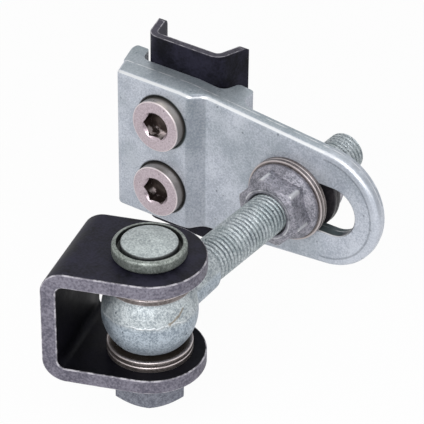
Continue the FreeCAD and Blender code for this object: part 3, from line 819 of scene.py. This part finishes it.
class GATE_OT_post_channel(bpy.types.Operator):
    """Post channel: the folded black strip behind the plate"""
    bl_idname = "gate.post_channel"
    bl_label = "Post channel"

    def masks(self, finish):
        """The top and bottom ends and the flanges' free ends, the border of the former for the painted highlight line,
        and no painted shade.
        """
        wires = finish.wires
        _, back, up = wires.split(finish.place())
        half = span("post_channel").z / 2
        ends = wires.ramp(wires.math("ABSOLUTE", up), half - 0.35 * MM, half - 0.15 * MM)
        free = wires.ramp(back, -1.1 * MM, -0.9 * MM)
        # The border strip along the ends takes the painted highlight line, partly burr.
        border = wires.add("ShaderNodeAttribute", attribute_name="border").outputs["Fac"]
        return wires.math("MAXIMUM", ends, free), border, None

    def outline_ends(self, mesh, half):
        """Parts a strip off the two end faces along their outline and marks it in an attribute."""
        shape = bmesh.new()
        shape.from_mesh(mesh)
        mark = shape.faces.layers.float.new("border")
        ends = [face for face in shape.faces
                if abs(face.normal.z) > 0.99999 and abs(face.calc_center_median().z) > half - 0.001 * MM]
        strips = bmesh.ops.inset_region(shape, faces=ends, thickness=sizes().burr_width, use_even_offset=True)
        for face in strips["faces"]:
            face[mark] = 1.0
        shape.to_mesh(mesh)
        shape.free()

    def execute(self, context):
        piece = merged_copy("post_channel", "post_channel_folded")
        self.outline_ends(piece.data, span("post_channel").z / 2)
        finished(piece, black_finish("black channel sheet", self.masks, 0.4))
        return {"FINISHED"}


class GATE_OT_hinge_plate(bpy.types.Operator):
    """Hinge plate: the galvanised casting with the slot"""
    bl_idname = "gate.hinge_plate"
    bl_label = "Hinge plate"

    def execute(self, context):
        finish = zinc_finish("galvanised casting", "zinc", patch=110.0, grain=0.62, pits=0.5,
                             smooth=0.3, dull=0.5, relief=0.35)
        wires = finish.wires
        # Painted shade round each cap screw's head, in the seat's gap.
        for node in ("upper_cap_screw", "lower_cap_screw"):
            across, _, up = wires.split(finish.about(middle(node)))
            seat = span(node).x / 2 + sizes().seat_gap
            finish.coat(wires.ramp(wires.length(across, up), seat + 0.2 * MM, seat + 0.8 * MM, 1.0, 0.0),
                        tone("painted_shade"))
        across, depth, up = wires.split(finish.place())
        beyond = wires.math("SUBTRACT", across, wires.math("MINIMUM", wires.math(
            "MAXIMUM", across, sizes().slot_start), sizes().slot_stop))
        # Painted shade on the slot's walls.
        wall = wires.ramp(wires.length(beyond, up), sizes().slot_radius + 0.2 * MM, sizes().slot_radius + 0.6 * MM, 1.0, 0.0)
        finish.coat(wall, tone("gap"), 0.8)
        aside, ahead, over = finish.facing()
        breakup = wires.ramp(wires.noise(finish.place(), 200.0, 2.0), 0.35, 0.6)
        end = wires.math("GREATER_THAN", across, sizes().arm_end)
        # Painted shade on the slanted face between the block and the arm.
        slope = wires.math("MULTIPLY", wires.ramp(aside, 0.05, 0.3), wires.math("LESS_THAN", ahead, -0.3))
        finish.coat(wires.math("MULTIPLY", slope, wires.math("SUBTRACT", 1.0, end)), tone("pit_and_shade"), 0.3)
        # Painted shade on the arm end's side faces that face up, mottled by noise.
        shaded_side = wires.math("MULTIPLY", end, wires.math("MULTIPLY", wires.ramp(over, 0.1, 0.3), breakup))
        finish.coat(wires.math("MULTIPLY", shaded_side, wires.ramp(ahead, -0.5, -0.3)), tone("pit_and_shade"), 0.5)
        stains = wires.ramp(wires.noise(finish.place(), 38.0, 3.0), 0.45, 0.65)
        finish.coat(stains, tone("patina"), 0.2)
        # Painted shade: the top faces are darkened towards the patina colour.
        finish.coat(wires.ramp(over, 0.85, 0.97), tone("patina"), 0.4)
        # Painted highlight along the rounding of the top front edge.
        upper = wires.math("MULTIPLY", wires.ramp(over, 0.35, 0.5), wires.ramp(ahead, -0.6, -0.45, 1.0, 0.0))
        finish.coat(upper, tone("scar_and_highlight"), 0.9)
        # Painted highlight line along the parting ridge, broken up by noise.
        ridge = wires.band(depth, sizes().arm_face + sizes().parting - 0.2 * MM, 0.15 * MM, 0.25 * MM)
        ridge = wires.math("MULTIPLY", wires.math("MULTIPLY", ridge, breakup), wires.math("GREATER_THAN", ahead, -0.6))
        finish.coat(ridge, tone("scar_and_highlight"), 0.7)
        # Painted highlight on the rounded border of the arm's end.
        far = wires.length(wires.math("MAXIMUM", wires.math("SUBTRACT", across, sizes().arm_end), 0.0), up)
        finish.coat(wires.math("MULTIPLY", end, wires.ramp(far, sizes().arm_rim, sizes().arm_rim + 0.6 * MM)),
                    tone("zinc_light"), 0.35)
        # Painted shade along the line where the arm end's flat face meets its rounded border.
        crease = wires.math("MULTIPLY", wires.band(far, sizes().arm_rim, 0.1 * MM, 0.5 * MM), end)
        finish.coat(crease, tone("pit_and_shade"), 0.4)
        piece = merged_copy("hinge_plate", "hinge_plate_casting")
        rounded(piece, sizes().casting_edge)
        finished(piece, finish.material)
        return {"FINISHED"}


class GATE_OT_cap_screws(bpy.types.Operator):
    """Cap screws and the bar they pull on"""
    bl_idname = "gate.cap_screws"
    bl_label = "Cap screws"

    def execute(self, context):
        upright = (90 * DEGREE, 0, 0)
        for node in ("upper_cap_screw", "lower_cap_screw"):
            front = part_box(node)[0].y
            finish = turned_finish(node.replace("_", " ") + " steel", "screw", middle(node), upright, 0.45 * MM,
                                   metallic=0.6, grain=0.8, pits=0.1, patch=90.0, smooth=0.24, dull=0.36, relief=0.1)
            wires = finish.wires
            depth = wires.split(finish.place())[1]
            head = span(node).x / 2
            behind = wires.ramp(depth, front + 0.35 * MM, front + 0.6 * MM)
            outside = wires.ramp(finish.radius, head - 0.5 * MM, head - 0.25 * MM)
            finish.coat(wires.math("MULTIPLY", behind, outside), tone("screw_side"), 0.8)
            # Painted shade on the head's side near its foot.
            foot = wires.ramp(depth, front + 2.5 * MM, front + 4.6 * MM)
            finish.coat(wires.math("MULTIPLY", foot, outside), tone("painted_shade"), 0.6)
            # Painted highlight along the head's front rim.
            finish.coat(wires.math("MULTIPLY", wires.math("SUBTRACT", 1.0, behind), outside), tone("washer_rim"), 0.8)
            # Painted shade inside the socket, leaving out its cone.
            inside = wires.math("MULTIPLY", wires.ramp(depth, front + 0.3 * MM, front + 0.7 * MM),
                                wires.math("LESS_THAN", finish.radius, sizes().socket_reach))
            inside = wires.math("MULTIPLY", inside,
                                wires.math("LESS_THAN", depth, front + sizes().socket_depth + 0.4 * MM))
            aside, ahead, _ = finish.facing()
            lead = wires.band(ahead, -math.sin(45 * DEGREE), 0.12, 0.05)
            inside = wires.math("MULTIPLY", inside, wires.math("SUBTRACT", 1.0, lead))
            finish.coat(inside, tone("socket"), 0.97)
            # Painted highlight on the socket walls that face the light.
            glint = wires.ramp(wires.noise(finish.place(), 330.0, 3.0), 0.48, 0.62)
            lit = wires.math("MULTIPLY", glint, wires.ramp(aside, -0.6, -0.3, 1.0, 0.15))
            finish.coat(wires.math("MULTIPLY", inside, lit), tone("socket_glint"), 0.55)
            # Painted highlight in the socket's lower-left corner.
            across, _, up = wires.split(finish.about(middle(node)))
            corner = wires.ramp(wires.math("ADD", wires.math("MULTIPLY", across, 0.4), up), -4.4 * MM, -3.6 * MM, 1.0, 0.0)
            finish.coat(wires.math("MULTIPLY", inside, wires.math("MULTIPLY", corner, glint)), tone("washer_rim"), 0.9)
            piece = rounded(merged_copy(node, node + "_turned"), 0.1 * MM, 50 * DEGREE)
            finished(piece, finish.material)
        bar = zinc_finish("clamp bar steel", "pin", pits=0.3)
        finished(rounded(merged_copy("clamp_bar", "clamp_bar_tapped"), 0.5 * MM), bar.material)
        return {"FINISHED"}


class GATE_OT_nuts(bpy.types.Operator):
    """Flange nuts on the bolt and the low nut under the bracket"""
    bl_idname = "gate.nuts"
    bl_label = "Nuts"

    def plate_middle(self):
        """Depth of the plate's middle in front of the post's face."""
        return -(middle("front_flange_nut").y + middle("rear_flange_nut").y) / 2

    def execute(self, context):
        size = sizes()
        look = dict(metallic=0.5, patch=260.0, grain=0.6, pits=0.35, smooth=0.3, dull=0.48, relief=0.5)
        flange = turned_finish("zinc flange nut", "nut", BOLT, (90 * DEGREE, 0, 0), 0.8 * MM, **look)
        wires = flange.wires
        # Painted shade in the nut's bore round the bolt.
        flange.coat(wires.ramp(flange.radius, size.thread_radius + 0.3 * MM, size.thread_radius + 0.9 * MM, 1.0, 0.0),
                    tone("gap"), 0.8)
        # Painted highlight round the bore's lip, broken up by noise.
        lip = wires.band(flange.radius, size.thread_radius + 1.9 * MM, 0.1 * MM, 0.35 * MM)
        lip_breakup = wires.ramp(wires.noise(flange.place(), 260.0, 3.0), 0.4, 0.6, 0.3, 1.0)
        flange.coat(wires.math("MULTIPLY", lip, lip_breakup), tone("scar_and_highlight"), 0.5)
        # Painted highlight along the hexagon's corner edges.
        corner = wires.ramp(flange.radius, size.nut_corner - 0.7 * MM, size.nut_corner - 0.3 * MM)
        outer = wires.ramp(wires.math("ABSOLUTE", wires.math("SUBTRACT", flange.height, self.plate_middle())),
                           size.nut_flange, size.nut_flange + 0.5 * MM)
        flange.coat(wires.math("MULTIPLY", corner, outer), tone("scar_and_highlight"), 0.5)
        plain = zinc_finish("zinc pin nut", "low_nut", **look)
        for node, finish in (("front_flange_nut", flange), ("rear_flange_nut", flange), ("pin_nut", plain)):
            piece = rounded(merged_copy(node, node + "_forged", 22 * DEGREE), size.nut_edge, 25 * DEGREE)
            finished(piece, finish.material)
        return {"FINISHED"}


class GATE_OT_lock_rings(bpy.types.Operator):
    """The paired rings on both sides of the plate"""
    bl_idname = "gate.lock_rings"
    bl_label = "Lock rings"

    def execute(self, context):
        upright = (90 * DEGREE, 0, 0)
        outer = "front_lock_ring_outer"
        bright = ring_finish("bright lock ring", span(outer).x / 2, -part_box(outer)[1].y, span(outer).y,
                             upright, BOLT, metallic=0.6, pits=0.2)
        # Painted shade: the rear rings get darker colours, as they lie in shade behind the plate.
        dark = turned_finish("dark lock ring", "dark", BOLT, upright, 0.6 * MM, metallic=0.2, pits=0.2)
        for node in sorted(n for n in frame["nodes"] if "lock_ring" in n):
            material = bright.material if node.startswith("front") else dark.material
            finished(merged_copy(node, node + "_turned"), material)
        return {"FINISHED"}


class GATE_OT_pin(bpy.types.Operator):
    """The pin with its domed head, the cup collar and the washers"""
    bl_idname = "gate.pin"
    bl_label = "Pin, collar and washers"

    def execute(self, context):
        dull = zinc_finish("dull zinc pin", "pin", patch=230.0, grain=0.7, pits=0.6, smooth=0.3, dull=0.5, relief=0.6)
        button, cup = span("hinge_pin").x / 2, sizes().collar_recess
        # Painted shade in the gap round the pin's dome.
        reach = dull.wires.length(*dull.wires.split(dull.about(EYE))[:2])
        dull.coat(dull.wires.ramp(reach, button - 0.5 * MM, button - 0.2 * MM), tone("painted_shade"), 0.9)
        finished(merged_copy("hinge_pin", "hinge_pin_domed"), dull.material)
        collar = turned_finish("dull zinc collar", "collar", EYE, (0, 0, 0), 0.7 * MM, pits=0.8, grain=0.7, patch=230.0)
        # Painted shade in the collar's cup, in the gap round the dome.
        collar.coat(collar.wires.ramp(collar.radius, cup, cup + 0.3 * MM, 1.0, 0.0), tone("painted_shade"), 0.9)
        finished(merged_copy("pin_collar", "pin_collar_turned"), collar.material)
        for side in ("upper", "lower"):
            outer, inner = side + "_washer_outer", side + "_washer_inner"
            rim = span(outer).x / 2
            steel = ring_finish("bright %s washer" % side, rim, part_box(outer)[0].z, span(outer).z, (0, 0, 0), EYE,
                                metallic=0.7, pits=0.1, patch=160.0, smooth=0.22, dull=0.36)
            # Painted shade on the washers' flat faces inside the rim.
            steel.coat(steel.wires.ramp(steel.radius, rim - 1.4 * MM, rim - 1.0 * MM, 1.0, 0.0), tone("shade"), 0.9)
            for node in (outer, inner):
                finished(merged_copy(node, node + "_turned"), steel.material)
        return {"FINISHED"}


class GATE_OT_studio(bpy.types.Operator):
    """Pale floor, soft lights and the camera"""
    bl_idname = "gate.studio"
    bl_label = "Studio"

    def seen_directly(self, wires):
        """1 for rays from the camera, a mirror or glass."""
        path = wires.add("ShaderNodeLightPath").outputs
        return wires.math("MAXIMUM", path["Is Camera Ray"],
                          wires.math("MAXIMUM", path["Is Glossy Ray"], path["Is Transmission Ray"]))

    def floor(self, settings):
        low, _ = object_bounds()
        half = settings.floor_size / 2
        mesh = bpy.data.meshes.new("studio_floor")
        level = low[2] - settings.floor_gap
        mesh.from_pydata([(-half, -half, level), (half, -half, level), (half, half, level), (-half, half, level)],
                         [], [(0, 1, 2, 3)])
        ground = bpy.data.objects.new("studio_floor", mesh)
        bpy.context.scene.collection.objects.link(ground)
        material = bpy.data.materials.new("pale floor")
        material.use_nodes = True
        wires = Wiring(material.node_tree)
        shader = next(n for n in material.node_tree.nodes if n.type == "BSDF_PRINCIPLED")
        shader.inputs["Base Color"].default_value = (0.9, 0.9, 0.9, 1)
        shader.inputs["Roughness"].default_value = 0.9
        glow = wires.add("ShaderNodeEmission")
        blend = wires.add("ShaderNodeMixShader")
        wires.feed(blend.inputs[0], wires.math("MULTIPLY", self.seen_directly(wires), 0.96))
        wires.feed(blend.inputs[1], shader.outputs[0])
        wires.feed(blend.inputs[2], glow.outputs[0])
        out = next(n for n in material.node_tree.nodes if n.type == "OUTPUT_MATERIAL")
        wires.feed(out.inputs["Surface"], blend.outputs[0])
        mesh.materials.append(material)
        ground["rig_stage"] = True

    def surroundings(self, settings):
        world = bpy.data.worlds.new("white surroundings")
        bpy.context.scene.world = world
        world.use_nodes = True
        wires = Wiring(world.node_tree)
        background = next(n for n in world.node_tree.nodes if n.type == "BACKGROUND")
        background.inputs["Color"].default_value = (1, 1, 1, 1)
        wires.feed(background.inputs["Strength"],
                   wires.ramp(self.seen_directly(wires), 0.0, 1.0, settings.sky, 1.0))

    def lamp(self, name, power, size, spot, aim):
        data = bpy.data.lights.new(name, "AREA")
        data.energy = power
        data.size = size
        light = bpy.data.objects.new(name, data)
        bpy.context.scene.collection.objects.link(light)
        away = (Vector(spot) - aim).normalized()
        light.rotation_euler = away.to_track_quat("Z", "Y").to_euler()
        light.location = spot

    def camera(self, settings):
        turn, rise = settings.azimuth, settings.elevation
        right = Vector((math.cos(turn), math.sin(turn), 0))
        ahead = Vector((-math.sin(turn) * math.cos(rise), math.cos(turn) * math.cos(rise), -math.sin(rise)))
        up = right.cross(ahead)
        level, lean = math.cos(settings.roll), math.sin(settings.roll)
        right, up = right * level + up * lean, up * level - right * lean
        data = bpy.data.cameras.new("photo_camera")
        data.lens = settings.focal_length
        data.sensor_width = 36
        data.clip_start = 10 * MM
        width = settings.distance * data.sensor_width / data.lens
        view = bpy.data.objects.new("photo_camera", data)
        bpy.context.scene.collection.objects.link(view)
        spot = EYE - ahead * settings.distance - right * (settings.eye_across * width) + up * (settings.eye_down * width)
        axes = Matrix((right, up, -ahead)).transposed()
        view.matrix_world = Matrix.Translation(spot) @ axes.to_4x4()
        bpy.context.scene.camera = view
        return right, up, ahead

    def execute(self, context):
        settings = context.scene.studio_settings
        low, high = (Vector(corner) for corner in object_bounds())
        aim = (low + high) / 2
        self.floor(settings)
        self.surroundings(settings)
        right, up, ahead = self.camera(settings)
        over = Vector((0, 0, 1))
        self.lamp("key_light", settings.key_power, 0.45, aim - right * 0.12 - ahead * 0.66 + over * 0.06, aim)
        self.lamp("fill_light", settings.fill_power, 0.45, aim + right * 0.6 - ahead * 0.4 + over * 0.1, aim)
        self.lamp("back_light", settings.back_power, 0.3, aim + right * 0.1 + ahead * 0.3 + over * 0.65, aim)
        context.scene.view_settings.view_transform = "Standard"
        return {"FINISHED"}


class GATE_PT_sidebar(bpy.types.Panel):
    bl_idname = "GATE_PT_sidebar"
    bl_label = "Gate hinge"
    bl_space_type = "VIEW_3D"
    bl_region_type = "UI"
    bl_category = SIDEBAR

    def draw(self, context):
        for operator in PIECES:
            self.layout.operator(operator.bl_idname)
        for group in ("hinge_sizes", "hinge_colours", "studio_settings"):
            settings = getattr(context.scene, group)
            box = self.layout.box()
            for name in settings.__annotations__:
                box.prop(settings, name)


PIECES = (
    GATE_OT_post_channel, GATE_OT_hinge_plate, GATE_OT_cap_screws, GATE_OT_eye_bolt, GATE_OT_nuts,
    GATE_OT_lock_rings, GATE_OT_gate_bracket, GATE_OT_pin, GATE_OT_studio,
)
SETTINGS = {"hinge_sizes": HingeSizes, "hinge_colours": HingeColours, "studio_settings": StudioSettings}


def register():
    for kind in tuple(SETTINGS.values()) + PIECES + (GATE_PT_sidebar,):
        bpy.utils.register_class(kind)
    for name, kind in SETTINGS.items():
        setattr(bpy.types.Scene, name, PointerProperty(type=kind))


def unregister():
    for name in SETTINGS:
        delattr(bpy.types.Scene, name)
    for kind in (GATE_PT_sidebar,) + PIECES[::-1] + tuple(SETTINGS.values())[::-1]:
        bpy.utils.unregister_class(kind)


def main():
    register()
    for operator in PIECES:
        group, name = operator.bl_idname.split(".")
        getattr(getattr(bpy.ops, group), name)()


if __name__ == "__main__":
    main()
